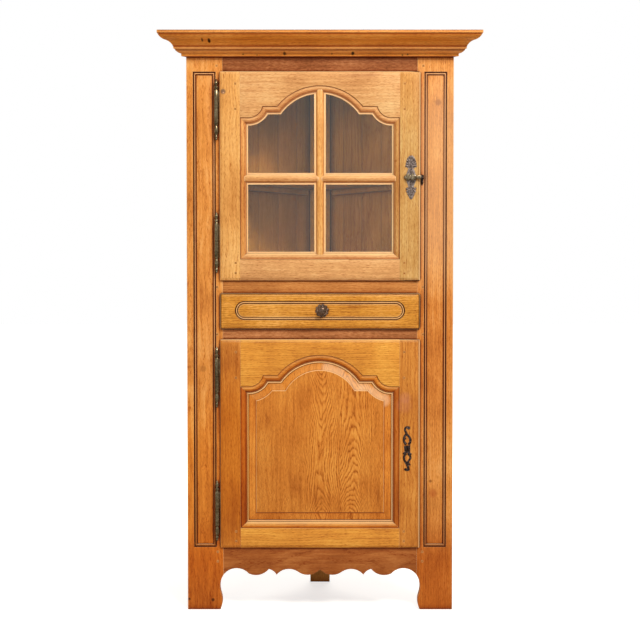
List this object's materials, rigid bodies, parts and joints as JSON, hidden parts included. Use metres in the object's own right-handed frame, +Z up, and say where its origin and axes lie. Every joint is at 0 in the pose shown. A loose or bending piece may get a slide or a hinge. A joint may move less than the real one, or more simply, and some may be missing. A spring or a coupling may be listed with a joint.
{
  "type": "corner cabinet",
  "caption": "Tall oak corner cabinet with an arched glazed door over a drawer and an arched panelled door, for the corner of a room.",
  "frame": {"origin": "middle of the bounding box, on the floor", "axes": "+X to the viewer's right along the front, +Y back into the corner of the room, +Z up"},
  "size_m": [1.106, 0.523, 2],
  "materials": {
    "oak_stiles": "waxed oak, honey",
    "oak_rails": "waxed oak, darker reddish brown",
    "oak_cornice": "waxed oak, honey brown",
    "oak_upper_door": "waxed oak, pale honey",
    "oak_lower_door": "waxed oak, orange honey",
    "oak_panel": "waxed oak with strong cathedral grain",
    "oak_drawer_front": "waxed oak, honey",
    "oak_pegs": "end grain oak, waxed",
    "oak_inside": "plain oak, unwaxed",
    "window_glass": "clear window glass",
    "hinge_iron": "turned iron, rubbed",
    "plate_bronze": "dark patinated bronze",
    "handled_bronze": "bronze, rubbed bright on its high parts",
    "lock_steel": "plain steel, oiled"
  },
  "bodies": {
    "carcass": {"left_front_stile": "oak_stiles", "right_front_stile": "oak_stiles", "frieze_rail": "oak_rails", "upper_cross_rail": "oak_rails", "lower_cross_rail": "oak_rails", "apron_rail": "oak_rails", "frame_pegs": "oak_pegs", "cornice_moulding": "oak_cornice", "top_board": "oak_inside", "rear_post": "oak_inside", "left_back_boards": "oak_inside", "right_back_boards": "oak_inside", "upper_cupboard_floor": "oak_inside", "drawer_bearer_board": "oak_inside", "lower_cupboard_floor": "oak_inside", "upper_shelf": "oak_inside", "lower_shelf": "oak_inside", "shelf_battens": "oak_inside", "drawer_runner": "oak_inside", "bolt_keeper": "plate_bronze", "upper_door_top_hinge_frame_half": "hinge_iron", "upper_door_bottom_hinge_frame_half": "hinge_iron", "lower_door_top_hinge_frame_half": "hinge_iron", "lower_door_bottom_hinge_frame_half": "hinge_iron"},
    "upper_door": {"upper_door_hinge_stile": "oak_upper_door", "upper_door_lock_stile": "oak_upper_door", "upper_door_top_rail": "oak_upper_door", "upper_door_bottom_rail": "oak_upper_door", "upper_door_pegs": "oak_pegs", "glazing_upright_bar": "oak_upper_door", "glazing_left_bar": "oak_upper_door", "glazing_right_bar": "oak_upper_door", "glass_top_left": "window_glass", "glass_top_right": "window_glass", "glass_bottom_left": "window_glass", "glass_bottom_right": "window_glass", "glazing_beads": "oak_upper_door", "bolt_plate": "plate_bronze", "upper_door_top_hinge_door_half": "hinge_iron", "upper_door_bottom_hinge_door_half": "hinge_iron"},
    "slide_bolt": {"slide_bolt": "handled_bronze"},
    "lower_door": {"lower_door_hinge_stile": "oak_lower_door", "lower_door_lock_stile": "oak_lower_door", "lower_door_top_rail": "oak_lower_door", "lower_door_bottom_rail": "oak_lower_door", "lower_door_pegs": "oak_pegs", "raised_panel": "oak_panel", "keyhole_plate": "plate_bronze", "lock_case": "lock_steel", "lower_door_top_hinge_door_half": "hinge_iron", "lower_door_bottom_hinge_door_half": "hinge_iron"},
    "lock_bolt": {"lock_bolt": "lock_steel"},
    "drawer": {"drawer_front": "oak_drawer_front", "drawer_left_side": "oak_inside", "drawer_right_side": "oak_inside", "drawer_back": "oak_inside", "drawer_bottom": "oak_inside", "drawer_guides": "oak_inside", "knob_rosette": "plate_bronze", "drawer_knob": "handled_bronze"}
  },
  "joints": [
    {"name": "upper_door_hinges", "type": "hinge", "parent": "carcass", "child": "upper_door", "pos_m": [-0.3588, -0.1815, 1.5], "axis": [0, 0, -1], "range_deg": [0, 130]},
    {"name": "slide_bolt_travel", "type": "slide", "parent": "upper_door", "child": "slide_bolt", "axis": [1, 0, 0], "range_m": [0, 0.008]},
    {"name": "lower_door_hinges", "type": "hinge", "parent": "carcass", "child": "lower_door", "pos_m": [-0.3588, -0.1815, 0.58], "axis": [0, 0, -1], "range_deg": [0, 130]},
    {"name": "lock_bolt_throw", "type": "slide", "parent": "lower_door", "child": "lock_bolt", "axis": [1, 0, 0], "range_m": [0, 0.009]},
    {"name": "drawer_slide", "type": "slide", "parent": "carcass", "child": "drawer", "axis": [0, -1, 0], "range_m": [0, 0.2]}
  ]
}
